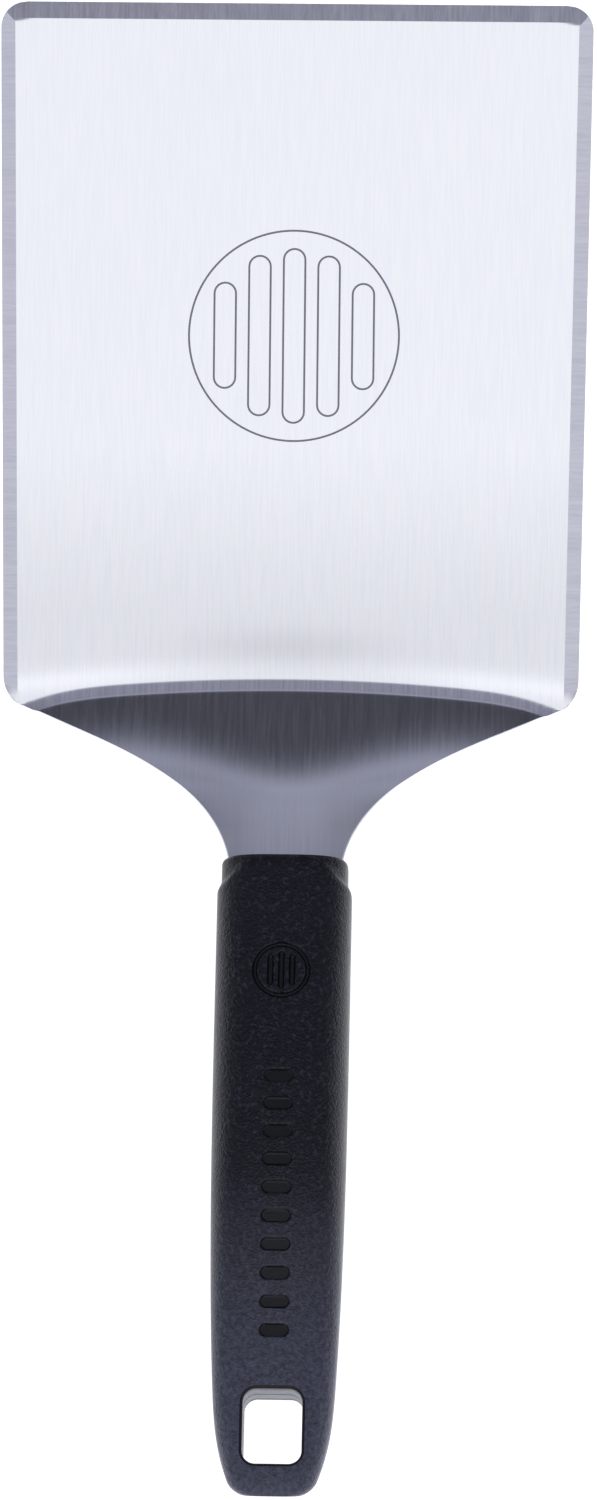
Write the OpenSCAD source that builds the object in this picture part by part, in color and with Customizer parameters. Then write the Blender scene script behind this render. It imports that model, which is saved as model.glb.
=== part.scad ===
// Grill spatula: a wide pressed stainless blade, with a riveted and overmoulded handle.
// Millimetres. +Y runs from the handle towards the blade's front edge, +Z is up.
// The origin is the bottom centre of the whole tool, lying on its blade.
// Plan points are written [x, s]: s is the distance back from the blade's front edge.

/* [Blade] */
// Width of the blade at its front edge
blade_w = 127; // [115:1:140]
// Width of the blade where its rear corners begin
rear_w = 123.6; // [112:0.1:124]
// Length of the straight sides, from the front edge to the rear corners
side_l = 144.4; // [142:0.1:146]
// Thickness of the stainless sheet
sheet_t = 1.3; // [1:0.1:1.8]
// Radius of the front corners
front_r = 5.6; // [4.5:0.1:8]
// Radius of the rear corners
rear_r = 7.5; // [6:0.1:9]
// Width of the ground bevel along the front and side edges
bevel_w = 3.3; // [2:0.1:4]
// Thickness left at the outside of the bevel
edge_t = 0.5; // [0.3:0.1:0.8]

/* [Bend and neck] */
// Distance from the front edge to the middle of the curved bend line
bend_s = 144.2; // [142:0.1:147]
// Radius of the bend line, seen from above
bend_plan_r = 400; // [300:1:450]
// Inside radius of the bend
bend_r = 5.5; // [4:0.1:8]
// Steepness of the pressed ramp behind the bend, in degrees
ramp_angle = 38; // [34:1:42]
// Width of the neck where it enters the grip
neck_w = 24; // [22:0.5:24.4]
// Distance from the front edge to the front of the grip
grip_s = 184; // [182:0.5:188]
// Height of the sheet's underside where it enters the grip
neck_z = 19.6; // [18:0.1:22]
// Height lost per square millimetre beside the centre line, which crowns the neck
crown_k = 0.01; // [0:0.0005:0.012]

/* [Handle] */
// Tilt of the handle above the blade, in degrees
tilt = 19; // [16:0.5:21]
// Length of the grip along its own axis
grip_l = 137; // [132:0.1:140]
// Half width of the grip at its widest, just behind the collar
grip_half_w = 14.3; // [13.5:0.1:16]
// Half thickness of the grip at its front end
grip_half_h = 9.2; // [8.5:0.1:10.5]
// Half thickness of the grip round the hang hole
tail_half_h = 6.3; // [6:0.1:7.5]
// Width of the hang hole
hole_w = 12.4; // [10:0.1:14]
// Length of the hang hole along the grip
hole_l = 15.8; // [12:0.1:17]
// Corner radius of the hang hole
hole_r = 2.8; // [2:0.1:4]
// Distance from the front of the grip to the middle of the hang hole
hole_at = 122.1; // [120:0.1:123]

/* [Core and tang] */
// Width of the tang inside the grip
tang_w = 16; // [12:0.5:17]
// Length of the tang inside the grip
tang_l = 106; // [90:1:108]
// Half thickness of the two-piece core
core_half_h = 4.2; // [3.8:0.1:4.4]
// Gap left round the tang and the rivets
fit_gap = 0.05; // [0.02:0.01:0.1]
// Radius of a rivet's shank
rivet_r = 2.4; // [2:0.1:3]
// Radius of a rivet's head
rivet_head_r = 4; // [3.5:0.1:4.5]
// Thickness of a rivet's head
rivet_head_t = 1.2; // [0.8:0.1:1.5]
// Distances from the front of the grip to the rivets
rivets_at = [22, 56, 90]; // [12:1:100]

/* [Hidden] */

overlap = 0.1;
steel_grey = [0.80, 0.81, 0.84];
nylon_grey = [0.62, 0.63, 0.66];
grip_black = [0.10, 0.11, 0.13];

side_angle = atan((blade_w - rear_w) / 2 / side_l);

// Shoulder outline: a curve from the rear corners to the neck, [x, s]
shoulder_angle = 24.8;
neck_flare = 8.4;
shoulder_pull = 16;
neck_pull = 19.6;
rear_turn = 90 - shoulder_angle;
rear_centre = [rear_w / 2 - rear_r, side_l];
shoulder_0 = rear_centre + rear_r * [cos(rear_turn), sin(rear_turn)];
shoulder_1 = shoulder_0 + shoulder_pull * [-cos(shoulder_angle), sin(shoulder_angle)];
shoulder_3 = [neck_w / 2, grip_s];
shoulder_2 = shoulder_3 + neck_pull * [sin(neck_flare), -cos(neck_flare)];

// Grip outline and section
collar_l = 4.6;
collar_step = 0.85;
collar_run = 2.6;
lip_r = 0.9;
taper_from = 17;
taper_run = 98;
taper_drop = 1.5;
taper_power = 3.5;
tail_from = 108;
tail_full = 144.1;
tail_power = 3.4;
tail_h_full = 138.2;
tail_corner_r = 2.2;
// The end face leans forwards at its foot, by this much for each millimetre down
tail_lean = 0.25;
tail_lean_from = 118;
palm_swell = 1.8;
section_power = 2.6;
ring_sides = 36;

// Core outline
core_from = 6;
core_half_w = 9.8;
core_side_gap = 2;
core_tail_gap = 4;
parting_groove = 0.3;
shoulder_plate_l = 3;
shoulder_taper_l = 5;
// How far the tang reaches into the neck, and lies under its faces, so that they are one solid
weld_l = 1;
weld_in = 0.02;

function mix(a, b, k) = a + (b - a) * k;
function clamp01(k) = min(1, max(0, k));
function smooth(k) = let (c = clamp01(k)) c * c * (3 - 2 * c);
function bezier(a, b, c, d, t) =
    pow(1 - t, 3) * a + 3 * pow(1 - t, 2) * t * b + 3 * (1 - t) * t * t * c + pow(t, 3) * d;
function smooth_min(a, b, w) =
    w <= 0 ? min(a, b) : let (h = clamp01(0.5 + 0.5 * (b - a) / w)) mix(b, a, h) - w * h * (1 - h);

// Height of the sheet's underside: flat, then the bend, the ramp and the crowned neck
function ramp_z(u) =
    u <= 0 ? 0 :
    u < bend_r * sin(ramp_angle) ? bend_r - sqrt(bend_r * bend_r - u * u) :
    bend_r * (1 - cos(ramp_angle)) + (u - bend_r * sin(ramp_angle)) * tan(ramp_angle);
crown_reach = 24;
crown_fade_l = 18;
blend_h = 1.8;
function crown_z(x, s) =
    crown_k * x * x / (1 + pow(x / crown_reach, 2)) * (1 - smooth((s - grip_s + crown_fade_l) / crown_fade_l));
function neck_plane_z(x, s) = neck_z - (grip_s - s) * tan(tilt) - crown_z(x, s);
function sheet_z(x, s) =
    let (u = bend_plan_r - norm([x, bend_s + bend_plan_r - s]), ramp = ramp_z(u))
    ramp <= 0 ? 0 : smooth_min(ramp, neck_plane_z(x, s), min(blend_h, ramp));

// Unit normal of the underside, pointing up
slope_step = 0.01;
function sheet_normal(x, s) =
    let (
        dx = (sheet_z(x + slope_step, s) - sheet_z(x - slope_step, s)) / (2 * slope_step),
        ds = (sheet_z(x, s) - sheet_z(x, s - slope_step)) / slope_step
    )
    [-dx, ds, 1] / norm([dx, ds, 1]);

// Half width of the grip at distance l from its front
function lip_in(l) = l >= lip_r ? 0 : lip_r - sqrt(lip_r * lip_r - pow(lip_r - l, 2));
function tail_corner_in(l) =
    let (past = max(0, l - grip_l + tail_corner_r))
    tail_corner_r - sqrt(max(0, tail_corner_r * tail_corner_r - past * past));
function grip_w_at(l) =
    let (
        body = grip_half_w - taper_drop * pow(max(0, (l - taper_from) / taper_run), taper_power),
        collar = collar_step * (1 - smooth((l - collar_l) / collar_run)),
        k = max(0, (l - tail_from) / (tail_full - tail_from))
    )
    (body - collar - lip_in(l)) * sqrt(1 - pow(k, tail_power)) - tail_corner_in(l);
// Half thickness of the grip there
function grip_h_at(l) =
    let (
        body = mix(grip_half_h, tail_half_h, smooth((l - 62) / 58))
            + palm_swell * pow(sin(clamp01(l / 110) * 180), 2),
        collar = 0.5 * collar_step * (1 - smooth((l - collar_l) / collar_run)),
        k = max(0, (l - tail_from) / (tail_h_full - tail_from))
    )
    (body - collar - lip_in(l)) * sqrt(1 - pow(k, 14));
function power_cos(a) = sign(cos(a)) * pow(abs(cos(a)), 2 / section_power);
function power_sin(a) = sign(sin(a)) * pow(abs(sin(a)), 2 / section_power);
function grip_ring(l) =
    let (
        w = grip_w_at(l), h = grip_h_at(l),
        lean = tail_lean * smooth((l - tail_lean_from) / (grip_l - tail_lean_from))
    )
    [
        for (i = [0:ring_sides - 1])
            let (a = (i + 0.5) * 360 / ring_sides, up = h * power_sin(a))
            [w * power_cos(a), lean * (h - up) - l, up]
    ];
front_rings = [0, 0.25, 0.9, 2.5, 4.6, 5.4, 6.2, 7.4];
grip_stations = concat(
    front_rings,
    [for (i = [1:16]) mix(7.4, 116, i / 16)],
    [for (i = [1:11]) mix(116, grip_l, sin(i * 90 / 11))]
);

// The tool's own length sets where the front edge stands
handle_s = grip_s - sheet_t / 2 * sin(tilt);
handle_z = neck_z + sheet_t / 2 * cos(tilt);
function grip_s_of(p) = handle_s - p[1] * cos(tilt) - p[2] * sin(tilt);
overall_l = max([for (l = grip_stations) for (p = grip_ring(l)) grip_s_of(p)]);
front_y = overall_l / 2;

// Turns [x, s, z] into a point behind the front edge, where y is -s
function placed(p) = [p[0], -p[1], p[2]];

// Puts children on the handle's axis: local -Y runs along the grip from its front end
module on_handle() {
    translate([0, front_y - handle_s, handle_z]) rotate([-tilt, 0, 0]) children();
}

// Closed solid through rings of points. Each ring is a closed loop of the same even length,
// whose point j lies across from its point n - 1 - j.
module skin(rings) {
    n = len(rings[0]);
    m = len(rings);
    points = [for (ring = rings) for (p = ring) p];
    walls = [
        for (i = [0:m - 2]) for (j = [0:n - 1])
            let (a = i * n + j, b = i * n + (j + 1) % n)
            each [[a, a + n, b], [b, a + n, b + n]]
    ];
    caps = [
        for (j = [0:n / 2 - 2])
            let (quad = [j, j + 1, n - 2 - j, n - 1 - j], last = (m - 1) * n)
            each [quad, [for (i = [3:-1:0]) last + quad[i]]]
    ];
    polyhedron(points, concat(walls, caps), convexity = 6);
}

// ---- blade ----

// Outline of the blade and neck on the right-hand side, from the front edge back, [x, s]
corner_x = blade_w / 2 - front_r * tan(side_angle) - front_r / cos(side_angle);
function side_x(s) = blade_w / 2 - s * tan(side_angle);
corner_turns = [0, 16, 33, 50, acos(1 - bevel_w / front_r), 78, 90 + side_angle];
sheet_outline = concat(
    [for (t = corner_turns) [corner_x, front_r] + front_r * [sin(t), -cos(t)]],
    [for (i = [1:5]) let (s = side_l * i / 6) [side_x(s), s]],
    [for (i = [0:7]) rear_centre + rear_r * [cos(rear_turn * i / 7), sin(rear_turn * i / 7)]],
    [for (i = [1:22]) bezier(shoulder_0, shoulder_1, shoulder_2, shoulder_3, i / 22)]
);

// Places of the columns across the sheet: a few over each bevel, and even steps between them
bevel_fade_l = 6;
bevel_columns = 3;
face_columns = 18;
function column_places(w) = concat(
    [for (j = [0:bevel_columns - 1]) -w + bevel_w * j / bevel_columns],
    [for (j = [0:face_columns]) mix(bevel_w - w, w - bevel_w, j / face_columns)],
    [for (j = [bevel_columns - 1:-1:0]) w - bevel_w * j / bevel_columns]
);

// Distance in from the blade's edge, where the sheet is w wide to each side, and the thickness there
function edge_gap(x, s, w) =
    s < front_r && abs(x) > corner_x ? front_r - norm([abs(x) - corner_x, front_r - s]) : min(s, w - abs(x));
function thickness_at(x, s, w) = mix(
    mix(edge_t, sheet_t, clamp01(edge_gap(x, s, w) / bevel_w)), sheet_t, smooth((s - side_l) / bevel_fade_l)
);
function sheet_top(x, s, w) =
    let (n = sheet_normal(x, s) * thickness_at(x, s, w))
    placed([x, s, sheet_z(x, s)] + [n[0], -n[1], n[2]]);
function sheet_ring(w, s) =
    let (places = column_places(w))
    concat(
        [for (x = places) placed([x, s, sheet_z(x, s)])],
        [for (j = [len(places) - 1:-1:0]) sheet_top(places[j], s, w)]
    );

module sheet() {
    translate([0, front_y, 0]) skin([for (p = sheet_outline) sheet_ring(p[0], p[1])]);
}

// The tang's outline on the handle's axis. It starts a little inside the neck.
module tang_outline(gap = 0) {
    w = tang_w / 2 + gap;
    shoulder = neck_w / 2 + gap;
    taper_to = shoulder_plate_l + shoulder_taper_l;
    polygon([
        [-shoulder, weld_l], [-shoulder, -shoulder_plate_l], [-w, -taper_to], [-w, w - tang_l],
        [w, w - tang_l], [w, -taper_to], [shoulder, -shoulder_plate_l], [shoulder, weld_l]
    ]);
    translate([0, tang_w / 2 - tang_l]) circle(r = w, $fn = 64);
}

module tang() {
    difference() {
        translate([0, 0, weld_in - sheet_t / 2]) linear_extrude(sheet_t - 2 * weld_in) tang_outline();
        for (l = rivets_at) translate([0, -l, -sheet_t])
            cylinder(r = rivet_r + fit_gap, h = 2 * sheet_t, $fn = 48);
    }
}

module blade() {
    color(steel_grey) union() {
        sheet();
        on_handle() tang();
    }
}

// ---- handle core and rivets ----

module hang_hole_outline(grow = 0) {
    x = hole_w / 2 - hole_r;
    y = hole_l / 2 - hole_r;
    translate([0, -hole_at]) {
        square([hole_w + 2 * grow, 2 * y], center = true);
        square([2 * x, hole_l + 2 * grow], center = true);
        for (i = [-1, 1]) for (j = [-1, 1]) translate([i * x, j * y]) circle(r = hole_r + grow, $fn = 48);
    }
}

function core_w_at(l) = min(core_half_w, grip_w_at(l) - core_side_gap);
module core_outline() {
    core_to = grip_l - core_tail_gap;
    stations = concat([core_from, 60, 104], [for (i = [1:10]) mix(104, core_to, i / 10)]);
    right = [for (l = stations) [core_w_at(l), -l]];
    left = [for (i = [len(right) - 1:-1:0]) [-right[i][0], right[i][1]]];
    polygon(concat(right, left));
}

// One half of the core, on the upper side of the tang
module core_half() {
    difference() {
        linear_extrude(core_half_h) core_outline();
        translate([0, 0, -overlap]) {
            linear_extrude(sheet_t / 2 + fit_gap + overlap) tang_outline(fit_gap);
            linear_extrude(core_half_h + 2 * overlap) hang_hole_outline();
            linear_extrude(parting_groove + overlap) hang_hole_outline(parting_groove);
            for (l = rivets_at) translate([0, -l, 0])
                cylinder(r = rivet_r + fit_gap, h = 2 * core_half_h, $fn = 48);
        }
        for (l = rivets_at) translate([0, -l, core_half_h - rivet_head_t - fit_gap])
            cylinder(r = rivet_head_r + fit_gap, h = core_half_h, $fn = 48);
    }
}

module core_upper() {
    color(nylon_grey) on_handle() core_half();
}

module core_lower() {
    color(nylon_grey) on_handle() mirror([0, 0, 1]) core_half();
}

module tang_rivets() {
    color(steel_grey) on_handle() for (l = rivets_at) translate([0, -l, 0]) {
        cylinder(r = rivet_r, h = 2 * core_half_h, center = true, $fn = 48);
        for (side = [0, 1]) mirror([0, 0, side]) translate([0, 0, core_half_h - rivet_head_t])
            cylinder(r = rivet_head_r, h = rivet_head_t, $fn = 48);
    }
}

// ---- grip ----

module grip() {
    color(grip_black) on_handle() difference() {
        skin([for (l = grip_stations) grip_ring(l)]);
        translate([0, 0, -core_half_h]) linear_extrude(2 * core_half_h) core_outline();
        translate([0, 0, -sheet_t / 2 - fit_gap]) linear_extrude(sheet_t + 2 * fit_gap) intersection() {
            tang_outline(fit_gap);
            translate([-blade_w / 2, -core_from - overlap]) square([blade_w, 2 * core_from]);
        }
        translate([0, 0, -2 * grip_half_h]) linear_extrude(4 * grip_half_h) hang_hole_outline();
    }
}

blade();
core_upper();
core_lower();
tang_rivets();
grip();
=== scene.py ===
import math

import bpy
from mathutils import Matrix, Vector


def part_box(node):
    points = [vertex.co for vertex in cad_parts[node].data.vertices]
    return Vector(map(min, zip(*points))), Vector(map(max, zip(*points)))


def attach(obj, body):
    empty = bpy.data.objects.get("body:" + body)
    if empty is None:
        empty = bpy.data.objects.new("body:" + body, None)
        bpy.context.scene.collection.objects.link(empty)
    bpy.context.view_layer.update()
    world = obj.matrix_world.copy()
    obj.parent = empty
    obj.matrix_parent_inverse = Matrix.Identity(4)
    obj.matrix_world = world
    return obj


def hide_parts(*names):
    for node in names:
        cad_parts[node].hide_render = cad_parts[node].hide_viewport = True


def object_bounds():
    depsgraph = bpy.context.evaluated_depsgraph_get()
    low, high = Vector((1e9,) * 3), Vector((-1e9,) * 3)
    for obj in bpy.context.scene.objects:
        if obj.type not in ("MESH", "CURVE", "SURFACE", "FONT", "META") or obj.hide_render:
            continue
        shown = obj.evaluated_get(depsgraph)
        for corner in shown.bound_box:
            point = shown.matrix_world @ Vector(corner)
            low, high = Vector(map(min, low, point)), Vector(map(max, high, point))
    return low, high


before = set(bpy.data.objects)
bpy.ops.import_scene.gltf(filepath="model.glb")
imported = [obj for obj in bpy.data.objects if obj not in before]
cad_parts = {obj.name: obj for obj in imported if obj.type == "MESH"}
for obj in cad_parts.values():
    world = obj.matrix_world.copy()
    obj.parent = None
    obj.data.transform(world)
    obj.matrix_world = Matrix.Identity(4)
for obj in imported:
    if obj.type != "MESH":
        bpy.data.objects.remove(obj)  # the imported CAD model, fixed: every place below is in its frame, in metres
cadBox = [list(corner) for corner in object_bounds()]
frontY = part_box("blade")[1].y  # the blade's front edge
print("frame loaded, front edge at", round(frontY, 4))

mm = 0.001


# shader maths: sums on sockets, and one way to add any other node

class Wire:
    # one output socket; sums on it add Math nodes to its material
    def __init__(self, bench, socket):
        self.bench = bench
        self.socket = socket

    def mathNode(self, operation, first, second):
        return self.bench.add("ShaderNodeMath", {"operation": operation}, {0: first, 1: second})

    def __add__(self, other):
        return self.mathNode("ADD", self, other)

    def __radd__(self, other):
        return self.mathNode("ADD", other, self)

    def __sub__(self, other):
        return self.mathNode("SUBTRACT", self, other)

    def __rsub__(self, other):
        return self.mathNode("SUBTRACT", other, self)

    def __mul__(self, other):
        return self.mathNode("MULTIPLY", self, other)

    def __rmul__(self, other):
        return self.mathNode("MULTIPLY", other, self)

    def __pow__(self, other):
        return self.mathNode("POWER", self, other)

    def __rpow__(self, other):
        return self.mathNode("POWER", other, self)


class Bench:
    # a node tree to build on, for a material or for the world
    def __init__(self, owner):
        owner.use_nodes = True
        self.owner = owner
        self.tree = owner.node_tree
        self.tree.nodes.clear()

    def add(self, kind, settings=None, sockets=None, out=0):
        node = self.tree.nodes.new(kind)
        for name, value in (settings or {}).items():
            if name == "stops":
                self.setStops(node.color_ramp, value)
            else:
                setattr(node, name, value)
        for name, value in (sockets or {}).items():
            if isinstance(value, Wire):
                self.tree.links.new(value.socket, node.inputs[name])
            else:
                node.inputs[name].default_value = value
        return Wire(self, node.outputs[out])

    def setStops(self, ramp, stops):
        while len(ramp.elements) > 1:
            ramp.elements.remove(ramp.elements[-1])
        for i, (place, grey) in enumerate(stops):
            element = ramp.elements[0] if i == 0 else ramp.elements.new(place)
            element.position = place
            element.color = (grey, grey, grey, 1)

    def place(self, stretch):
        # object coordinates, stretched differently along each axis
        spot = self.add("ShaderNodeTexCoord", out="Object")
        return self.add("ShaderNodeVectorMath", {"operation": "MULTIPLY"}, {0: spot, 1: stretch})

    def axis(self, number):
        spot = self.add("ShaderNodeTexCoord", out="Object")
        return self.add("ShaderNodeSeparateXYZ", {}, {0: spot}, out=number)

    def noise(self, stretch, detail=3.0, rough=0.55):
        return self.add(
            "ShaderNodeTexNoise", {},
            {"Vector": self.place(stretch), "Scale": 1.0, "Detail": detail, "Roughness": rough},
        )

    def spread(self, wire, fromLow, fromHigh, toLow, toHigh):
        return self.add(
            "ShaderNodeMapRange", {"clamp": True},
            {"Value": wire, "From Min": fromLow, "From Max": fromHigh, "To Min": toLow, "To Max": toHigh},
        )

    def blend(self, factor, first, second):
        return self.add(
            "ShaderNodeMix", {"data_type": "RGBA"}, {"Factor": factor, 6: first, 7: second}, out=2
        )

    def bump(self, height, distance, strength=1.0, under=None):
        sockets = {"Height": height, "Distance": distance, "Strength": strength}
        if under is not None:
            sockets["Normal"] = under
        return self.add("ShaderNodeBump", {}, sockets)

    def finish(self, sockets):
        shader = self.add("ShaderNodeBsdfPrincipled", {}, sockets)
        self.output("ShaderNodeOutputMaterial", shader)
        return self.owner

    def output(self, kind, shader):
        self.tree.links.new(shader.socket, self.tree.nodes.new(kind).inputs["Surface"])


def newMaterial(name):
    return Bench(bpy.data.materials.new(name))


def colour(red, green, blue):
    return (red, green, blue, 1.0)


# materials

steelLook = {
    "bright": colour(0.99, 0.995, 1.0),
    "dull": colour(0.855, 0.87, 0.915),
    "grainAcross": 1750.0,  # waves per metre across the grain
    "grainAlong": 75.0,
    "broadWaves": (300.0, 14.0, 14.0),
    "cloudWaves": (24.0, 16.0, 16.0),
    "roughLow": 0.17,
    "roughHigh": 0.25,
    "grainDepth": 0.008 * mm,
    # places are distances behind the front edge
    "falloffFrom": 95 * mm,  # painted shade: the steel's colour darkens towards the bend, standing in for the darker reflection there
    "falloffTo": 130 * mm,
    "falloffPaintedShade": 0.865,
    "spotAt": 137.5 * mm,  # a faint painted shade in the middle, ahead of the bend, standing in for the dip in the reflection there
    "spotReach": 4.2 * mm,
    "spotWidth": 21 * mm,
    "spotPaintedShade": 0.87,
    "rimAt": 142.6 * mm,  # a painted highlight: a narrow bright band just ahead of the bend, standing in for the reflection there
    "rimRadius": 440 * mm,
    "rimReach": 2.2 * mm,
    "rimPaintedHighlight": 0.15,
    "rimMiddle": 0.15,  # share of the lift in the middle, growing to 1 at the sides
    "rimSides": 40 * mm,
    "rampFrom": 140 * mm,  # painted light: behind the bend the steel's colour is a little brighter, standing in for the reflection there; its grain is also calmer
    "rampTo": 146 * mm,
    "rampPaintedLight": 1.06,
    "calmTo": 150 * mm,
    "calmShare": 0.3,
    "neckFrom": 167 * mm,  # painted shade: the neck's sides are darkened towards the grip
    "neckTo": 175 * mm,
    "neckInner": 3.16 * mm,  # beside the centre line
    "neckOuter": 10.49 * mm,
    "neckPaintedShade": 0.20,
    # painted shade where the neck goes into the grip
    "collarFrom": 172 * mm,
    "collarTo": 182 * mm,
    "collarPaintedShade": 0.09,
}


def hump(squaredGap):
    # 1 where the gap is 0, falling smoothly to nothing as it grows
    return math.e ** (squaredGap * -1.0)


def brushedSteel():
    look = steelLook
    bench = newMaterial("brushedSteel")
    fine = bench.noise((look["grainAcross"], look["grainAlong"], look["grainAlong"]), 4.0, 0.65)
    broad = bench.noise(look["broadWaves"], 2.0)
    cloud = bench.noise(look["cloudWaves"], 2.0)
    streak = bench.spread(fine * 0.9 + broad * 0.1, 0.34, 0.66, 0.0, 1.0)
    tone = bench.spread(streak * 0.8 + cloud * 0.2, 0.05, 0.95, 0.0, 1.0)
    x, y = bench.axis(0), bench.axis(1)

    def between(start, stop, atStart, atStop):
        # a value that changes between two distances behind the front edge
        return bench.spread(y, frontY - look[stop], frontY - look[start], atStop, atStart)

    acrossX = x * x
    # painted shade: a soft darker patch ahead of the bend
    spotX = x * (1 / look["spotWidth"])
    spotY = (y - (frontY - look["spotAt"])) * (1 / look["spotReach"])
    spot = 1 - (1 - look["spotPaintedShade"]) * hump(spotX * spotX + spotY * spotY)
    # painted highlight: a narrow bright band ahead of the bend
    rimGap = (frontY - look["rimAt"] - y - acrossX * (0.5 / look["rimRadius"])) * (1 / look["rimReach"])
    rimShare = bench.spread(acrossX, 0.0, look["rimSides"] ** 2, look["rimMiddle"], 1.0)
    rimHighlight = 1 + look["rimPaintedHighlight"] * hump(rimGap * rimGap) * rimShare
    # painted shade on the neck's sides, towards the grip
    sides = bench.spread(acrossX, look["neckInner"] ** 2, look["neckOuter"] ** 2, 0.0, look["neckPaintedShade"])
    neck = 1 - sides * between("neckFrom", "neckTo", 0.0, 1.0)
    # painted shade: the steel darkens where the neck meets the grip
    collar = 1 - between("collarFrom", "collarTo", 0.0, look["collarPaintedShade"])
    # painted shade: the colour darkens towards the bend, in place of the reflection's falloff
    wornAndPaintedShade = between("falloffFrom", "falloffTo", 1.0, look["falloffPaintedShade"])
    # painted light: the colour brightens behind the bend
    ramp = between("rampFrom", "rampTo", 1.0, look["rampPaintedLight"])
    shade = wornAndPaintedShade * spot * ramp * rimHighlight * neck * collar
    calm = between("rampFrom", "calmTo", 1.0, look["calmShare"])
    steel = bench.blend(tone, look["dull"], look["bright"])
    return bench.finish({
        "Base Color": bench.add("ShaderNodeVectorMath", {"operation": "SCALE"}, {0: steel, "Scale": shade}),
        "Metallic": 1.0,
        "Roughness": bench.spread(streak, 0.0, 1.0, look["roughLow"], look["roughHigh"]),
        "Normal": bench.bump(fine * calm, look["grainDepth"]),
    })


groundLook = {
    "dull": colour(0.80, 0.805, 0.82),
    "bright": colour(0.95, 0.952, 0.96),
    "waves": 1700.0,  # per metre across the grinding lines
    "roughLow": 0.16,
    "roughHigh": 0.27,
    "sideDepth": 0.02 * mm,
    "frontDepth": 0.008 * mm,
}


def groundSteel(name, acrossX):
    # grinding lines run square to the edge: along Y on the front bevel, along X on the sides
    look = groundLook
    bench = newMaterial(name)
    fast, slow = look["waves"], look["waves"] / 12
    fine = bench.noise((slow, fast, slow) if acrossX else (fast, slow, slow), 4.0, 0.65)
    broad = bench.noise((40.0, 320.0, 60.0) if acrossX else (320.0, 40.0, 60.0), 2.0)
    streak = bench.spread(fine * 0.65 + broad * 0.35, 0.34, 0.66, 0.0, 1.0)
    return bench.finish({
        "Base Color": bench.blend(streak, look["dull"], look["bright"]),
        "Metallic": 1.0,
        "Roughness": bench.spread(streak, 0.0, 1.0, look["roughLow"], look["roughHigh"]),
        "Normal": bench.bump(fine, look["sideDepth"] if acrossX else look["frontDepth"]),
    })


etchLook = {
    "dark": colour(0.2, 0.2, 0.22),
    "pale": colour(0.42, 0.42, 0.45),
    "pitsPerMetre": 5000.0,
    "pitDepth": 0.02 * mm,
}


def etchedSteel():
    look = etchLook
    bench = newMaterial("etchedSteel")
    pits = bench.noise((look["pitsPerMetre"],) * 3, 3.0, 0.6)
    return bench.finish({
        "Base Color": bench.blend(pits, look["dark"], look["pale"]),
        "Metallic": 1.0,
        "Roughness": bench.spread(pits, 0.3, 0.7, 0.42, 0.6),
        "Normal": bench.bump(pits, look["pitDepth"]),
    })


gripLook = {
    "deep": colour(0.0028, 0.0034, 0.0070),
    "wornAndPaintedShade": colour(0.0062, 0.0072, 0.0140),
    "speck": colour(0.055, 0.060, 0.085),  # fine pale grains on the raised texture
    "speckShare": 0.5,
    "paintedTailLight": colour(0.105, 0.112, 0.155),
    "paleFrom": -0.090,  # y where the grip's colour starts to turn paler towards its end: painted light, for the brighter light on the tail
    "paleTo": -0.131,
    "cellsPerMetre": 2100.0,
    "cellDepth": 0.2 * mm,
}


def gripRubber():
    look = gripLook
    bench = newMaterial("gripRubber")
    cells = look["cellsPerMetre"]
    hide = bench.add(
        "ShaderNodeTexVoronoi", {"feature": "SMOOTH_F1"},
        {"Vector": bench.place((cells, cells, cells)), "Scale": 1.0, "Smoothness": 0.6},
    )
    grain = bench.noise((cells * 0.55, cells * 0.45, cells * 0.55), 4.0, 0.6)
    cloud = bench.noise((120.0, 70.0, 120.0), 3.0)
    height = hide * 0.6 + grain * 0.9
    tone = bench.spread(grain * 0.6 + cloud * 0.4, 0.36, 0.66, 0.0, 1.0)
    speck = bench.spread(grain, 0.54, 0.68, 0.0, look["speckShare"])
    black = bench.blend(speck, bench.blend(tone, look["deep"], look["wornAndPaintedShade"]), look["speck"])
    # painted light: the tail's colour turns paler, for the light falling more brightly there
    tailLightShare = bench.spread(bench.axis(1), look["paleTo"], look["paleFrom"], 1.0, 0.0)
    speckle = bench.spread(grain, 0.35, 0.65, 0.45, 1.0)
    return bench.finish({
        "Base Color": bench.blend(tailLightShare * speckle, black, look["paintedTailLight"]),
        "Roughness": bench.spread(grain * 0.5 + cloud * 0.5, 0.36, 0.64, 0.29, 0.40),
        "Specular IOR Level": 0.40,
        "Normal": bench.bump(height, look["cellDepth"]),
    })


smoothLook = {
    "deep": colour(0.002, 0.002, 0.003),
    "wornAndPaintedShade": colour(0.006, 0.0065, 0.009),
    "grainDepth": 0.03 * mm,
}


def smoothRubber():
    look = smoothLook
    bench = newMaterial("smoothRubber")
    grain = bench.noise((1800.0, 1800.0, 1800.0), 3.0)
    return bench.finish({
        "Base Color": bench.blend(grain, look["deep"], look["wornAndPaintedShade"]),
        "Roughness": bench.spread(grain, 0.3, 0.7, 0.3, 0.42),
        "Specular IOR Level": 0.4,
        "Normal": bench.bump(grain, look["grainDepth"]),
    })


coreLook = {
    "dark": colour(0.30, 0.31, 0.335),
    "pale": colour(0.40, 0.41, 0.435),
    "fibreDepth": 0.02 * mm,
}


def coreNylon():
    look = coreLook
    bench = newMaterial("coreNylon")
    fibre = bench.noise((900.0, 500.0, 900.0), 4.0, 0.6)
    cloud = bench.noise((200.0, 200.0, 260.0), 2.0)
    tone = bench.spread(fibre * 0.5 + cloud * 0.5, 0.35, 0.65, 0.0, 1.0)
    return bench.finish({
        "Base Color": bench.blend(tone, look["dark"], look["pale"]),
        "Roughness": bench.spread(fibre, 0.3, 0.7, 0.38, 0.55),
        "Normal": bench.bump(fibre, look["fibreDepth"]),
    })


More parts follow.
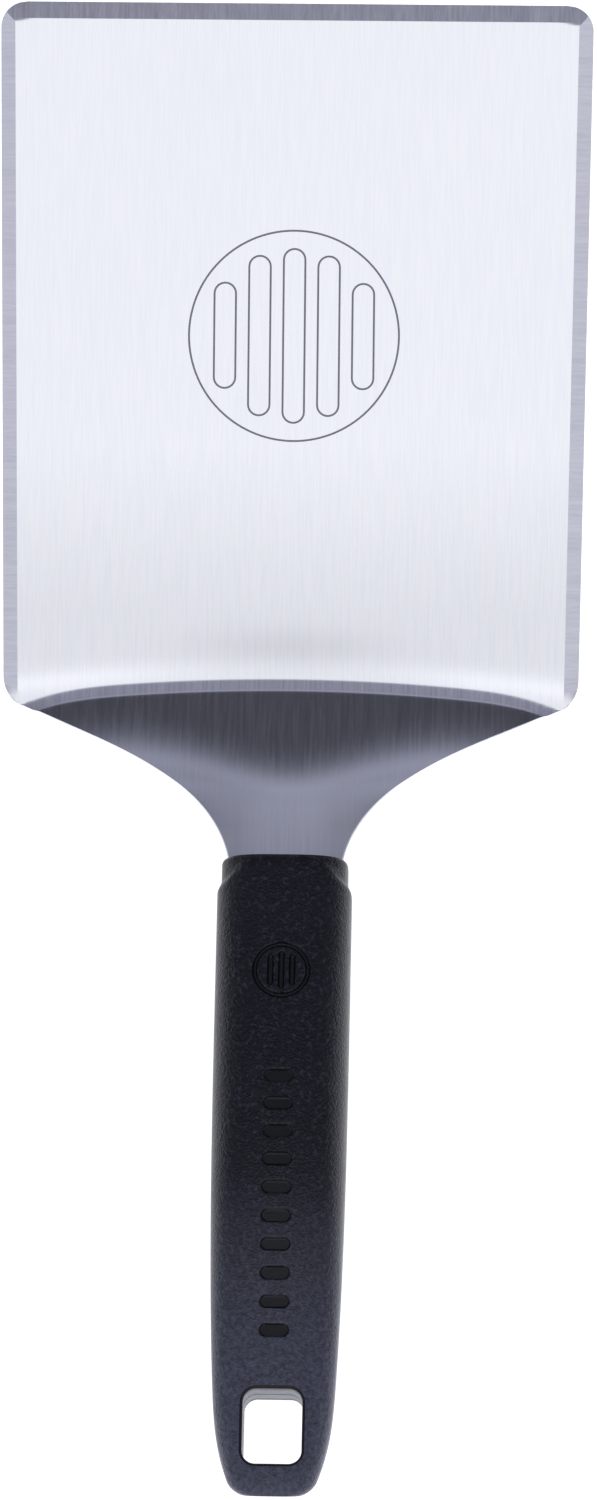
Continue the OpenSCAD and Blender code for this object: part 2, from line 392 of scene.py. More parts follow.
rivetLook = {
    "dark": colour(0.5, 0.5, 0.52),
    "pale": colour(0.72, 0.72, 0.74),
    "turningDepth": 0.01 * mm,
}


def rivetSteel():
    look = rivetLook
    bench = newMaterial("rivetSteel")
    turned = bench.noise((700.0, 700.0, 2500.0), 3.0)
    return bench.finish({
        "Base Color": bench.blend(turned, look["dark"], look["pale"]),
        "Metallic": 1.0,
        "Roughness": bench.spread(turned, 0.3, 0.7, 0.3, 0.5),
        "Normal": bench.bump(turned, look["turningDepth"]),
    })


floorLook = {
    "low": colour(0.9, 0.9, 0.9),
    "high": colour(0.93, 0.93, 0.93),
    "glow": 0.75,  # a lit paper, so that it stays an even white
}


def floorPaper():
    look = floorLook
    bench = newMaterial("floorPaper")
    tooth = bench.noise((900.0, 900.0, 900.0), 2.0)
    return bench.finish({
        "Base Color": bench.blend(tooth, look["low"], look["high"]),
        "Roughness": 0.9,
        "Specular IOR Level": 0.0,
        "Emission Color": colour(1, 1, 1),
        "Emission Strength": look["glow"],
    })


materials = {
    "steel": brushedSteel(),
    "sideBevel": groundSteel("groundSides", True),
    "frontBevel": groundSteel("groundFront", False),
    "etched": etchedSteel(),
    "grip": gripRubber(),
    "smooth": smoothRubber(),
    "core": coreNylon(),
    "rivet": rivetSteel(),
    "floor": floorPaper(),
}
print("materials made:", len(materials))


# geometry that the pieces share

def lerp(a, b, share):
    return a + (b - a) * share


def clamp(value, low=0.0, high=1.0):
    return max(low, min(high, value))


def ease(share):
    share = clamp(share)
    return share * share * (3 - 2 * share)


def easedRun(distance, width):
    # height gained where the slope grows from 0 to 1 over a width, and stays 1 after it
    share = distance / width
    if share <= 0:
        return 0.0
    if share >= 1:
        return width * (share - 0.5)
    return width * (share ** 3 - share ** 4 / 2)


def smoothMin(a, b, reach):
    if reach <= 0:
        return min(a, b)
    share = clamp(0.5 + 0.5 * (b - a) / reach)
    return lerp(b, a, share) - reach * share * (1 - share)


def bezierPoint(points, share):
    a, b, c, d = points
    rest = 1 - share
    return tuple(
        rest ** 3 * a[i] + 3 * rest ** 2 * share * b[i] + 3 * rest * share ** 2 * c[i] + share ** 3 * d[i]
        for i in range(2)
    )


def evenly(start, stop, count):
    return [lerp(start, stop, i / count) for i in range(count)]


def meshObject(name, vertices, faces, slots, faceSlots=None, sharpAngle=28):
    mesh = bpy.data.meshes.new(name)
    mesh.from_pydata(vertices, [], faces)
    for material in slots:
        mesh.materials.append(material)
    mesh.polygons.foreach_set("use_smooth", [True] * len(faces))
    if faceSlots:
        mesh.polygons.foreach_set("material_index", faceSlots)
    mesh.update()
    mesh.set_sharp_from_angle(angle=math.radians(sharpAngle))
    piece = bpy.data.objects.new(name, mesh)
    bpy.context.scene.collection.objects.link(piece)
    return piece


def cutAway(piece, cutter, sharpAngle=28):
    # takes the cutter out of the piece, and leaves one plain mesh
    knife = piece.modifiers.new("cut", "BOOLEAN")
    knife.operation = "DIFFERENCE"
    knife.solver = "EXACT"
    knife.object = cutter
    bpy.context.view_layer.update()
    graph = bpy.context.evaluated_depsgraph_get()
    result = bpy.data.meshes.new_from_object(piece.evaluated_get(graph))
    piece.modifiers.clear()
    piece.data = result
    result.set_sharp_from_angle(angle=math.radians(sharpAngle))
    bpy.data.objects.remove(cutter)


def prism(rings):
    # vertices and faces of a closed solid through rings of the same length
    vertices = [point for ring in rings for point in ring]
    count = len(rings[0])
    faces = [tuple(reversed(range(count)))]
    for r in range(len(rings) - 1):
        for i in range(count):
            j = (i + 1) % count
            faces.append((r * count + i, r * count + j, (r + 1) * count + j, (r + 1) * count + i))
    faces.append(tuple((len(rings) - 1) * count + i for i in range(count)))
    return vertices, faces


# the blade, in one sheet with its tang

bladeSize = {
    "width": 127 * mm,
    "rearWidth": 123.6 * mm,
    "sideLength": 144.4 * mm,
    "thickness": 1.3 * mm,
    "frontRadius": 5.6 * mm,
    "rearRadius": 7.5 * mm,
    "frontBevel": 3.6 * mm,
    "sideBevel": 3.1 * mm,
    "bevelEnd": 150.4 * mm,  # where the ground sides stop, on the rear corners
    "edgeThickness": 0.5 * mm,
    "cornerSweep": 0.8 * mm,  # how far the front bevel widens into its corners
    "sweepFrom": 57 * mm,
    "sweepRun": 3.5 * mm,
    "bendAt": 144.1 * mm,
    "bendRadius": 440 * mm,
    "tipDrop": 1.6 * mm,  # the bend line falls away towards its ends
    "tipFrom": 35 * mm,
    "tipRun": 20 * mm,
    "firstAngle": 15,  # the bend goes up in two steps, each eased in
    "firstEase": 1.3 * mm,
    "secondAngle": 35.5,
    "secondAt": 2.75 * mm,
    "secondEase": 1.6 * mm,
    "shoulderAngle": 24.8,  # directions and pulls of the curve from the rear corners to the neck
    "shoulderPull": 16 * mm,
    "neckFlare": 8.4,
    "neckPull": 19.6 * mm,
    "neckWidth": 24 * mm,
    "gripAt": 184 * mm,
    "neckHeight": 19.6 * mm,
    "tilt": 19,
    "neckBow": 1.5,  # per metre: the neck steepens a little away from the grip
    "crown": 6.8,  # per metre
    "crownReach": 27.4 * mm,
    "crownFade": 18 * mm,
    "blendHeight": 1.9 * mm,
    "edgeBreak": 0.25 * mm,  # the neck's top edges are eased by this much
    "bevelFadeFrom": 1 * mm,  # past the straight sides the bevel fades out and the eased edge begins
    "bevelFadeRun": 5 * mm,
    "breakFrom": 4 * mm,
    "breakRun": 3 * mm,
    "bevelColumns": 3,
    "faceColumns": 72,
    "plateLength": 3 * mm,  # the neck's full width goes this far into the grip
    "plateTaper": 5 * mm,
    "tangWidth": 16 * mm,
    "tangLength": 106 * mm,
    "rivetHole": 2.45 * mm,
    "rivetsAt": (22 * mm, 56 * mm, 90 * mm),
}


def sideX(s):
    b = bladeSize
    return b["width"] / 2 - s * (b["width"] - b["rearWidth"]) / 2 / b["sideLength"]


def outlinePoints():
    # half outline of the sheet, [half width, distance behind the front edge]
    b = bladeSize
    slant = math.atan2((b["width"] - b["rearWidth"]) / 2, b["sideLength"])
    r = b["frontRadius"]
    cornerX = b["width"] / 2 - r * math.tan(slant) - r / math.cos(slant)
    points = []
    for turn in evenly(0, math.pi / 2 + slant, 40):
        points.append((cornerX + r * math.sin(turn), r - r * math.cos(turn)))
    points.append((sideX(2 * r), 2 * r))
    shoulderAngle, flare = math.radians(b["shoulderAngle"]), math.radians(b["neckFlare"])
    r = b["rearRadius"]
    centre = (b["rearWidth"] / 2 - r, b["sideLength"])
    turnEnd = math.pi / 2 - shoulderAngle
    for turn in evenly(0, turnEnd, 24):
        points.append((centre[0] + r * math.cos(turn), centre[1] + r * math.sin(turn)))
    start = (centre[0] + r * math.cos(turnEnd), centre[1] + r * math.sin(turnEnd))
    end = (b["neckWidth"] / 2, b["gripAt"])
    pull, pullEnd = b["shoulderPull"], b["neckPull"]
    curve = (
        start,
        (start[0] - pull * math.cos(shoulderAngle), start[1] + pull * math.sin(shoulderAngle)),
        (end[0] + pullEnd * math.sin(flare), end[1] - pullEnd * math.cos(flare)),
        end,
    )
    points += [bezierPoint(curve, i / 120) for i in range(121)]
    return points


outline = outlinePoints()
bladeSharp = 7  # degrees: the sheet's creases are shallow


def halfWidthAt(s):
    for (x0, s0), (x1, s1) in zip(outline, outline[1:]):
        if s0 <= s <= s1 and s1 > s0:
            return lerp(x0, x1, (s - s0) / (s1 - s0))
    return outline[-1][0]


def sheetHeight(x, s):
    # the sheet's underside
    b = bladeSize
    tip = b["tipDrop"] * max(0, (abs(x) - b["tipFrom"]) / b["tipRun"]) ** 3
    behind = s - b["bendAt"] - x * x / (2 * b["bendRadius"]) - tip
    first, second = math.tan(math.radians(b["firstAngle"])), math.tan(math.radians(b["secondAngle"]))
    ramp = first * easedRun(behind, b["firstEase"])
    ramp += (second - first) * easedRun(behind - b["secondAt"], b["secondEase"])
    if ramp <= 0:
        return 0.0
    crown = b["crown"] * x * x / (1 + (x / b["crownReach"]) ** 2)
    crown *= 1 - ease((s - b["gripAt"] + b["crownFade"]) / b["crownFade"])
    ahead = b["gripAt"] - s
    neck = b["neckHeight"] - ahead * math.tan(math.radians(b["tilt"])) - b["neckBow"] * ahead ** 2 / 2
    return smoothMin(ramp, neck - crown, min(b["blendHeight"], ramp))


def sheetNormal(x, s):
    step = 0.02 * mm
    slopeX = (sheetHeight(x + step, s) - sheetHeight(x - step, s)) / (2 * step)
    slopeS = (sheetHeight(x, s + step) - sheetHeight(x, s - step)) / (2 * step)
    if s > bladeSize["gripAt"] - 2 * step:
        slopeX, slopeS = 0.0, math.tan(math.radians(bladeSize["tilt"]))
    return Vector((-slopeX, slopeS, 1)).normalized()  # y runs against s


def frontSweep(x):
    b = bladeSize
    return b["cornerSweep"] * ease((abs(x) - b["sweepFrom"]) / b["sweepRun"])


def thicknessAt(x, s, halfWidth):
    b = bladeSize
    ground = b["thickness"] - b["edgeThickness"]
    frontCut = ground * max(0, 1 - (s - frontSweep(x)) / b["frontBevel"])
    sideCut = ground * max(0, 1 - (sideX(s) - abs(x)) / b["sideBevel"])
    past = s - b["sideLength"]
    fade = 1 - ease((past - b["bevelFadeFrom"]) / b["bevelFadeRun"])
    full = b["thickness"] - max(frontCut, sideCut) * fade
    broken = b["edgeBreak"] * ease((past - b["breakFrom"]) / b["breakRun"])
    gap = halfWidth - abs(x)
    return full - broken * (1 - clamp(gap / b["edgeBreak"]))


def columnPlaces(s, halfWidth):
    # places across the sheet; one pair of columns follows the bevel's inner line and its mitre
    b = bladeSize
    mitre = (b["frontBevel"] + b["cornerSweep"] - s) / b["frontBevel"]
    inner = min(sideX(s) - b["sideBevel"] * clamp(1 - mitre), halfWidth - b["edgeBreak"])
    outer = evenly(halfWidth, inner, b["bevelColumns"])
    face = evenly(inner, -inner, b["faceColumns"]) + [-inner]
    return outer + face + [-x for x in reversed(outer)]


def rowPlaces():
    # rows lie close over the front bevel and the bend
    b = bladeSize
    rows = evenly(0, b["frontBevel"], 16) + evenly(b["frontBevel"], 6 * mm, 16)
    rows += evenly(6 * mm, 118 * mm, 28) + evenly(118 * mm, 143 * mm, 25)
    rows += evenly(143 * mm, 166 * mm, 78) + evenly(166 * mm, b["gripAt"], 30)
    return rows + [b["gripAt"]]


def handlePoint(x, along, up):
    # a point on the handle's own axes, turned into the frame
    b = bladeSize
    tilt = math.radians(b["tilt"])
    startS = b["gripAt"] - b["thickness"] / 2 * math.sin(tilt)
    startZ = b["neckHeight"] + b["thickness"] / 2 * math.cos(tilt)
    y = frontY - startS - along * math.cos(tilt) + up * math.sin(tilt)
    return (x, y, startZ + along * math.sin(tilt) + up * math.cos(tilt))


def tangHalfWidth(along):
    b = bladeSize
    neck, bar = b["neckWidth"] / 2, b["tangWidth"] / 2
    if along <= b["plateLength"]:
        return neck
    if along <= b["plateLength"] + b["plateTaper"]:
        return lerp(neck, bar, (along - b["plateLength"]) / b["plateTaper"])
    past = along - (b["tangLength"] - bar)
    return bar if past <= 0 else math.sqrt(max(bar * bar - past * past, (0.4 * mm) ** 2))


def bladeRows():
    b = bladeSize
    half = b["thickness"] / 2
    rows = []
    for s in rowPlaces():
        halfWidth = halfWidthAt(s)
        top, bottom = [], []
        for x in columnPlaces(s, halfWidth):
            z = sheetHeight(x, s)
            normal = sheetNormal(x, s) * thicknessAt(x, s, halfWidth)
            bottom.append((x, frontY - s, z))
            top.append((x + normal.x, frontY - s + normal.y, z + normal.z))
        rows.append((top, bottom))
    along = [0.5 * mm, 3 * mm, 5.5 * mm, 8 * mm, 50 * mm]
    end, bar, neck = b["tangLength"], b["tangWidth"] / 2, b["neckWidth"] / 2
    along += [end - bar + bar * math.sin(i * math.pi / 24) for i in range(12)] + [end]
    for place in along:
        halfWidth = tangHalfWidth(place)
        spots = [x / neck * halfWidth for x in columnPlaces(b["gripAt"], neck)]
        rows.append((
            [handlePoint(x, place, half) for x in spots],
            [handlePoint(x, place, -half) for x in spots],
        ))
    return rows


def buildBlade():
    b = bladeSize
    rows, places = bladeRows(), rowPlaces()
    width, edge = len(rows[0][0]), b["bevelColumns"]
    steel, side, front = 0, 1, 3  # numbers of the material slots
    vertices = [point for top, bottom in rows for point in top + bottom]
    faces, faceSlots = [], []
    for r in range(len(rows) - 1):
        here, after = r * 2 * width, (r + 1) * 2 * width
        s = places[min(r, len(places) - 1)]
        bevelled = r < len(places) and s + 0.01 * mm < b["bevelEnd"]
        for c in range(width - 1):
            atSide = bevelled and (c < edge or c >= width - 1 - edge)
            x = (rows[r][0][c][0] + rows[r][0][c + 1][0]) / 2
            inFront = s < b["frontBevel"] + frontSweep(x) - 0.1 * mm
            faces.append((here + c, here + c + 1, after + c + 1, after + c))
            faceSlots.append(side if atSide else front if inFront else steel)
            low, lowAfter = here + width, after + width
            faces.append((lowAfter + c, lowAfter + c + 1, low + c + 1, low + c))
            faceSlots.append(steel)
        last = width - 1
        faces.append((here, after, after + width, here + width))
        faces.append((here + last + width, after + last + width, after + last, here + last))
        faceSlots += [side if bevelled else steel] * 2
    end = (len(rows) - 1) * 2 * width
    for c in range(width - 1):
        faces.append((c + 1, c, c + width, c + 1 + width))
        faces.append((end + c, end + c + 1, end + c + 1 + width, end + c + width))
        faceSlots += [front, steel]
    slots = [materials[name] for name in ("steel", "sideBevel", "etched", "frontBevel")]
    return meshObject("bladeSheet", vertices, faces, slots, faceSlots, bladeSharp)


# a round grate, drawn in thin etched lines
iconSize = {
    "centreBack": 71 * mm,  # behind the front edge
    "centreX": 0.0,
    "radius": 22.5 * mm,
    "line": 0.42 * mm,
    "depth": 0.12 * mm,
    "bars": 5,
    "barWidth": 4.6 * mm,
    "barPitch": 7.4 * mm,
    "barReach": 18.6 * mm,
}


def pillLoop(halfWidth, halfLength, sides=12):
    # a slot's outline, long way along y, counter-clockwise
    straight = halfLength - halfWidth
    loop = []
    for i in range(sides + 1):
        turn = math.pi * i / sides
        loop.append((halfWidth * math.cos(turn), straight + halfWidth * math.sin(turn)))
    return loop + [(-x, -y) for x, y in loop]


def groove(loopOut, loopIn, top, bottom, centre):
    # a closed band between two loops, to cut a line with
    count = len(loopOut)
    vertices = []
    for loop, z in ((loopOut, top), (loopOut, bottom), (loopIn, bottom), (loopIn, top)):
        vertices += [(centre[0] + x, centre[1] + y, z) for x, y in loop]
    faces = []
    for ring in range(4):
        after = (ring + 1) % 4
        for i in range(count):
            j = (i + 1) % count
            faces.append((ring * count + i, after * count + i, after * count + j, ring * count + j))
    return vertices, faces


def joined(solids):
    vertices, faces = [], []
    for points, polygons in solids:
        start = len(vertices)
        vertices += points
        faces += [tuple(start + i for i in polygon) for polygon in polygons]
    return vertices, faces


def etchCutter():
    icon = iconSize
    top = bladeSize["thickness"] + 0.4 * mm  # clear of the face
    bottom = bladeSize["thickness"] - icon["depth"]
    half = icon["line"] / 2
    centre = (icon["centreX"], frontY - icon["centreBack"])
    circle = [(math.cos(turn), math.sin(turn)) for turn in evenly(0, math.tau, 120)]
    ringOut = [(x * (icon["radius"] + half), y * (icon["radius"] + half)) for x, y in circle]
    ringIn = [(x * (icon["radius"] - half), y * (icon["radius"] - half)) for x, y in circle]
    solids = [groove(ringOut, ringIn, top, bottom, centre)]
    for i in range(icon["bars"]):
        x = (i - (icon["bars"] - 1) / 2) * icon["barPitch"]
        length = math.sqrt(icon["barReach"] ** 2 - x * x)
        wide = icon["barWidth"] / 2
        solids.append(groove(
            pillLoop(wide + half, length + half), pillLoop(wide - half, length - half),
            top, bottom, (centre[0] + x, centre[1]),
        ))
    vertices, faces = joined(solids)
    return meshObject("etchCutter", vertices, faces, [materials["etched"]] * 4, [2] * len(faces))


def rivetHoleCutter():
    b = bladeSize
    solids = []
    for place in b["rivetsAt"]:
        r = b["rivetHole"]
        circle = [(r * math.cos(turn), r * math.sin(turn)) for turn in evenly(0, math.tau, 32)]
        rings = [[handlePoint(x, place - y, up) for x, y in circle] for up in (-2 * mm, 2 * mm)]
        solids.append(prism(rings))
    vertices, faces = joined(solids)
    return meshObject("rivetHoleCutter", vertices, faces, [materials["steel"]])


blade = buildBlade()
cutAway(blade, etchCutter(), bladeSharp)
cutAway(blade, rivetHoleCutter(), bladeSharp)
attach(blade, "root")
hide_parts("blade")
print("blade built:", len(blade.data.polygons), "faces")


# the grip

gripSize = {
    "length": 136.7 * mm,
    "halfWidth": 14.28 * mm,
    "frontHalfHeight": 9.9 * mm,
    "tailHalfHeight": 6.25 * mm,
    "collarLength": 4.4 * mm,
    "collarStep": 0.85 * mm,
    "collarRun": 2.4 * mm,
    "collarFrom": 0.5,  # share of the width where the collar's step begins
    "lipRadius": 0.9 * mm,
    "taperFrom": 17 * mm,
    "taperRun": 98 * mm,
    "taperDrop": 1.5 * mm,
    "taperPower": 3.5,
    "tailFrom": 108 * mm,
    "tailFull": 144.1 * mm,
    "tailPower": 3.4,
    "tailHeightFull": 138.2 * mm,
    "tailCorner": 2.7 * mm,
    "tailLean": 0.25,
    "tailLeanFrom": 118 * mm,
    "thinFrom": 62 * mm,  # the grip thins towards its tail
    "thinRun": 58 * mm,
    "tailHeightPower": 14,
    "palmSwell": 1.8 * mm,
    "palmTo": 110 * mm,
    "sectionPower": 3.3,
    "frontReach": 0.4 * mm,
    "frontReachRun": 8 * mm,
    "markColumnsTo": 0.47,  # share of the width with close columns for the moulded marks
    "holeWidth": 12.4 * mm,
    "holeLength": 15.8 * mm,
    "holeRadius": 2.8 * mm,
    "holeAt": 122.1 * mm,
    "holeLip": 0.7 * mm,
    "coreTop": 4.25 * mm,  # just over the core, so that its wall shows in the hole
    "coreRelief": 0.4 * mm,
    "cutterTop": 12 * mm,  # clear of the grip
}

# marks moulded into the top of the grip: a small grate and a row of plain bars
markSize = {
    "depth": 0.75 * mm,
    "wall": 0.3 * mm,
    "grateAt": 25.4 * mm,
    "grateRadius": 5.6 * mm,
    "grateLine": 0.45 * mm,
    "grateBar": 0.55 * mm,
    "gratePitch": 2.3 * mm,
    "grateInset": 1.5 * mm,  # the grate's bars stop this far inside its ring
    "grateClear": 8 * mm,
    "barsFrom": 48.5 * mm,
    "barsTo": 102 * mm,
    "bars": 10,
    "barHalfAcross": 3.1 * mm,
    "barHalfAlong": 1.35 * mm,
    "smoothHalf": 7 * mm,  # beside the centre line, where the marks' floors are smooth rubber
    "smoothFrom": 0.3,  # share of the full depth
}


def collarIn(along, share):
    # the collar's step runs round the sides, and meets the front lip on top
    g = gripSize
    end = g["collarLength"] * ease((share - g["collarFrom"]) / (1 - g["collarFrom"]))
    return g["collarStep"] * (1 - ease((along - end) / g["collarRun"]))


def gripHalfWidth(along, share=1.0):
    g = gripSize
    taper = max(0, (along - g["taperFrom"]) / g["taperRun"])
    body = g["halfWidth"] - g["taperDrop"] * taper ** g["taperPower"]
    tail = max(0, (along - g["tailFrom"]) / (g["tailFull"] - g["tailFrom"]))
    past = max(0, along - g["length"] + g["tailCorner"])
    corner = g["tailCorner"] - math.sqrt(max(0, g["tailCorner"] ** 2 - past ** 2))
    body -= collarIn(along, share) + lipIn(along)
    return body * math.sqrt(1 - tail ** g["tailPower"]) - corner


def gripHalfHeight(along, share=0.0):
    g = gripSize
    body = lerp(g["frontHalfHeight"], g["tailHalfHeight"], ease((along - g["thinFrom"]) / g["thinRun"]))
    body += g["palmSwell"] * math.sin(clamp(along / g["palmTo"]) * math.pi) ** 2
    tail = max(0, (along - g["tailFrom"]) / (g["tailHeightFull"] - g["tailFrom"]))
    body -= 0.5 * collarIn(along, share) + lipIn(along)
    return body * math.sqrt(1 - tail ** g["tailHeightPower"])


def leaned(along, up):
    # the end face leans forwards at its foot, and the front end reaches a little forwards
    g = gripSize
    reach = g["frontReach"] * (1 - ease(along / g["frontReachRun"]))
    lean = g["tailLean"] * ease((along - g["tailLeanFrom"]) / (g["length"] - g["tailLeanFrom"]))
    return along - reach - lean * (gripHalfHeight(along) - up)


def lipIn(along):
    r = gripSize["lipRadius"]
    return 0.0 if along >= r else r - math.sqrt(r * r - (r - along) ** 2)


def surfaceHeight(x, along):
    # height of the grip's top over its middle plane
    power = gripSize["sectionPower"]
    share = min(abs(x) / gripHalfWidth(along), 0.999)
    return gripHalfHeight(along) * (1 - share ** power) ** (1 / power)


def slotDistance(x, y, halfX, halfY):
    # distance to a round-ended slot, negative inside it
    r = min(halfX, halfY)
    dx, dy = max(abs(x) - (halfX - r), 0), max(abs(y) - (halfY - r), 0)
    return math.hypot(dx, dy) - r


def markDepth(x, along):
    m = markSize
    nearest = 1.0
    dy = along - m["grateAt"]
    if abs(dy) < m["grateClear"]:
        ring = abs(math.hypot(x, dy) - m["grateRadius"]) - m["grateLine"]
        nearest = min(nearest, ring)
        for i in (-1, 0, 1):
            reach = math.sqrt((m["grateRadius"] - m["grateInset"]) ** 2 - (i * m["gratePitch"]) ** 2)
            nearest = min(nearest, slotDistance(x - i * m["gratePitch"], dy, m["grateBar"], reach))
    pitch = (m["barsTo"] - m["barsFrom"]) / (m["bars"] - 1)
    i = clamp(round((along - m["barsFrom"]) / pitch), 0, m["bars"] - 1)
    bar = slotDistance(x, along - m["barsFrom"] - i * pitch, m["barHalfAcross"], m["barHalfAlong"])
    nearest = min(nearest, bar)
    return m["depth"] * ease(0.5 - nearest / m["wall"])


def gripColumns():
    # places round the section as (x share, z share), with close columns over the moulded marks
    power = gripSize["sectionPower"]
    close = gripSize["markColumnsTo"]
    fine = evenly(close, -close, 76) + [-close]
    spots = [(u, (1 - abs(u) ** power) ** (1 / power)) for u in fine]
    start = math.asin(spots[-1][1] ** (power / 2))
    for i in range(1, 60):
        turn = lerp(math.pi - start, math.tau + start, i / 60)
        c, s = math.cos(turn), math.sin(turn)
        spots.append((
            math.copysign(abs(c) ** (2 / power), c),
            math.copysign(abs(s) ** (2 / power), s),
        ))
    return spots


def gripStations():
    # rings lie close over the lip, the collar and the moulded marks
    g = gripSize
    places = [0.0, 0.1 * mm, 0.25 * mm, 0.45 * mm, 0.7 * mm, 1 * mm, 2 * mm, 3 * mm]
    places += evenly(4 * mm, 9 * mm, 16) + evenly(9 * mm, 16 * mm, 8)
    places += evenly(16 * mm, 33 * mm, 84) + evenly(33 * mm, 46 * mm, 9)
    places += evenly(46 * mm, 104.5 * mm, 270) + evenly(104.5 * mm, 112 * mm, 8)
    places += [lerp(112 * mm, g["length"], math.sin(i * math.pi / 96)) for i in range(49)]
    return places


gripSharp = 60  # degrees


def buildGrip():
    columns, stations = gripColumns(), gripStations()
    rings = []
    for along in stations:
        ring = []
        for u, v in columns:
            x = gripHalfWidth(along, abs(u)) * u
            up = gripHalfHeight(along, abs(u)) * v
            if v > 0 and abs(u) < gripSize["markColumnsTo"]:
                up -= markDepth(x, along)
            ring.append((x, leaned(along, up), up))
        rings.append(ring)
    for share in (0.85, 0.5):  # smaller rings close both ends
        front = [(x * share, along, up * share) for x, along, up in rings[0]]
        tail = [(x * share, leaned(stations[-1], up * share), up * share) for x, along, up in rings[-1]]
        rings = [front] + rings + [tail]
    rings = [[handlePoint(*point) for point in ring] for ring in rings]
    vertices, faces = prism(rings)
    slots = [materials["grip"], materials["smooth"]]
    piece = meshObject("gripSkin", vertices, faces, slots, sharpAngle=gripSharp)
    paintMarks(piece)
    return piece


def paintMarks(piece):
    # the moulded marks have a smooth, darker floor
    m = markSize
    tilt = math.radians(bladeSize["tilt"])
    front = Vector(handlePoint(0, 0, 0))
    for polygon in piece.data.polygons:
        place = polygon.center - front
        along = -place.y * math.cos(tilt) + place.z * math.sin(tilt)
        up = place.y * math.sin(tilt) + place.z * math.cos(tilt)
        marked = markDepth(place.x, along) > m["depth"] * m["smoothFrom"]
        if up > 0 and abs(place.x) < m["smoothHalf"] and marked:
            polygon.material_index = 1  # the smooth rubber's slot


def holeLoop(offset, sides=10):
    # rounded rectangle of the hang hole, grown outwards by an offset, as (x, along)
    g = gripSize
    r = g["holeRadius"] + offset
    halfX, halfY = g["holeWidth"] / 2 - g["holeRadius"], g["holeLength"] / 2 - g["holeRadius"]
    loop = []
    for quarter, (signX, signY) in enumerate(((1, 1), (-1, 1), (-1, -1), (1, -1))):
        for i in range(sides + 1):
            turn = (quarter + i / sides) * math.pi / 2
            loop.append((signX * halfX + r * math.cos(turn), signY * halfY + r * math.sin(turn)))
        nextX = (halfX, -halfX, -halfX, halfX)[(quarter + 1) % 4]
        nextY = (halfY, halfY, -halfY, -halfY)[(quarter + 1) % 4]
        x0, y0 = loop[-1]
        turn = (quarter + 1) * math.pi / 2
        x1, y1 = nextX + r * math.cos(turn), nextY + r * math.sin(turn)
        loop += [(lerp(x0, x1, k / 6), lerp(y0, y1, k / 6)) for k in range(1, 6)]
    return [(x, g["holeAt"] + y) for x, y in loop]


def holeCutter():
    # the hole with its rounded rim, and a little wider between the rubber's inner faces
    g = gripSize
    lip = g["holeLip"]
    profile = [(lip + 0.5 * mm, -0.12 * mm)]
    for i in range(7):
        turn = math.radians(lerp(14, 90, i / 6))
        profile.append((lip * (1 - math.sin(turn)), lip * (1 - math.cos(turn))))
    upper = [[(x, along, g["cutterTop"]) for x, along in holeLoop(profile[0][0])]]
    for offset, depth in profile:
        upper.append([(x, along, surfaceHeight(x, along) - depth) for x, along in holeLoop(offset)])
    for offset, up in ((0.0, g["coreTop"] + 0.03 * mm), (g["coreRelief"], g["coreTop"])):
        upper.append([(x, along, up) for x, along in holeLoop(offset)])
    rings = upper + [[(x, along, -up) for x, along, up in ring] for ring in reversed(upper)]
    vertices, faces = prism([[handlePoint(*point) for point in reversed(ring)] for ring in reversed(rings)])
    slots = [materials["grip"], materials["smooth"]]
    return meshObject("holeCutter", vertices, faces, slots, [1] * len(faces))


grip = buildGrip()
cutAway(grip, holeCutter(), gripSharp)
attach(grip, "root")
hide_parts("grip")
print("grip built:", len(grip.data.polygons), "faces")


# the core halves and the rivets are the CAD's own, with better materials

def repaint(node, material):
    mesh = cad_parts[node].data
    if not mesh.materials:
        mesh.materials.append(material)
    for i in range(len(mesh.materials)):
        mesh.materials[i] = material


repaint("core_upper", materials["core"])
repaint("core_lower", materials["core"])
repaint("tang_rivets", materials["rivet"])
print("core and rivets repainted")


# floor, light and camera

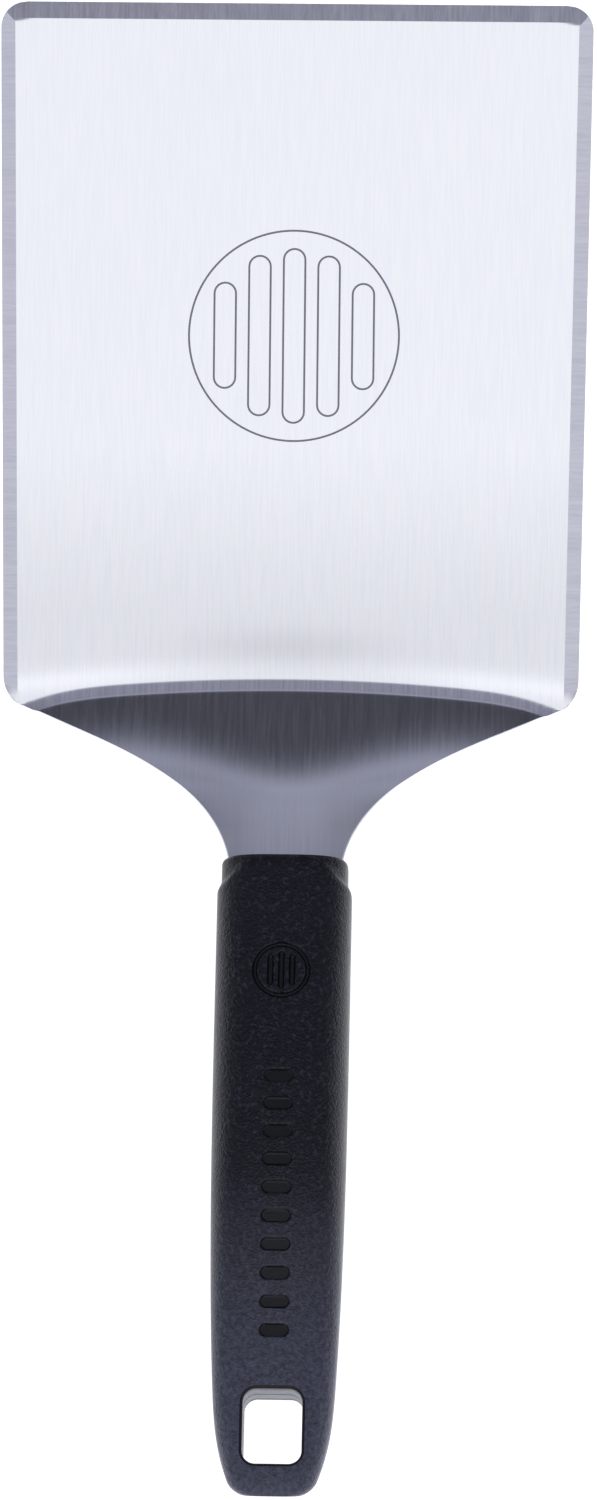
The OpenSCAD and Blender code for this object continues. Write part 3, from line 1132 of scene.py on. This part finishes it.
studio = {
    "floorHalf": 3.0,
    "floorGap": 0.2 * mm,
    "cameraAt": (0.06303, frontY - 0.07785, 1.75336),
    "cameraTurn": (-2.655, 2.026, 0.576),  # degrees
    "lens": 196.2,  # mm
    "sensor": 36,
    # the dome's brightness: from behind the handle (0) over the top (0.5) to ahead of the blade (1)
    "ahead": [
        (0.0, 0.85), (0.40, 0.95), (0.55, 1.0), (0.59, 0.92), (0.65, 0.5), (0.70, 0.27), (0.73, 0.225),
        (0.77, 0.27), (0.82, 0.40), (0.855, 0.36), (0.90, 0.14), (0.94, 0.068), (1.0, 0.05),
    ],
    # and from the middle (0) out to either side (1)
    "aside": [(0.0, 1.0), (0.12, 1.0), (0.42, 0.62), (0.7, 0.56), (1.0, 0.65)],
    "dimTint": colour(0.93, 0.96, 1.24),
    "brightTint": colour(0.985, 0.99, 1.04),
}


def buildFloor():
    half, low = studio["floorHalf"], cadBox[0][2] - studio["floorGap"]
    corners = [(-half, -half, low), (half, -half, low), (half, half, low), (-half, half, low)]
    floor = meshObject("floor", corners, [(0, 1, 2, 3)], [materials["floor"]])


def buildLight():
    # one soft dome: bright overhead, about half as bright at the sides, dark beyond the front edge
    world = bpy.data.worlds.new("studioDome")
    bpy.context.scene.world = world
    bench = Bench(world)
    direction = bench.add("ShaderNodeTexCoord", out="Generated")
    x, y = [bench.add("ShaderNodeSeparateXYZ", {}, {0: direction}, out=i) for i in range(2)]
    ahead = bench.add("ShaderNodeValToRGB", {"stops": studio["ahead"]}, {0: y * 0.5 + 0.5})
    sideways = bench.add("ShaderNodeMath", {"operation": "ABSOLUTE"}, {0: x})
    aside = bench.add("ShaderNodeValToRGB", {"stops": studio["aside"]}, {0: sideways})
    strength = ahead * aside
    warmth = bench.spread(strength, 0.3, 0.9, 0.0, 1.0)
    tint = bench.blend(warmth, studio["dimTint"], studio["brightTint"])
    glow = bench.add("ShaderNodeBackground", {}, {"Color": tint, "Strength": strength})
    bench.output("ShaderNodeOutputWorld", glow)


def buildCamera():
    data = bpy.data.cameras.new("camera")
    camera = bpy.data.objects.new("camera", data)
    bpy.context.scene.collection.objects.link(camera)
    data.lens = studio["lens"]
    data.sensor_width = studio["sensor"]
    data.clip_start, data.clip_end = 0.05, 20
    camera.location = studio["cameraAt"]
    camera.rotation_euler = [math.radians(turn) for turn in studio["cameraTurn"]]
    bpy.context.scene.camera = camera


buildFloor()
buildLight()
buildCamera()
bpy.context.scene.view_settings.view_transform = "Standard"
print("studio built")
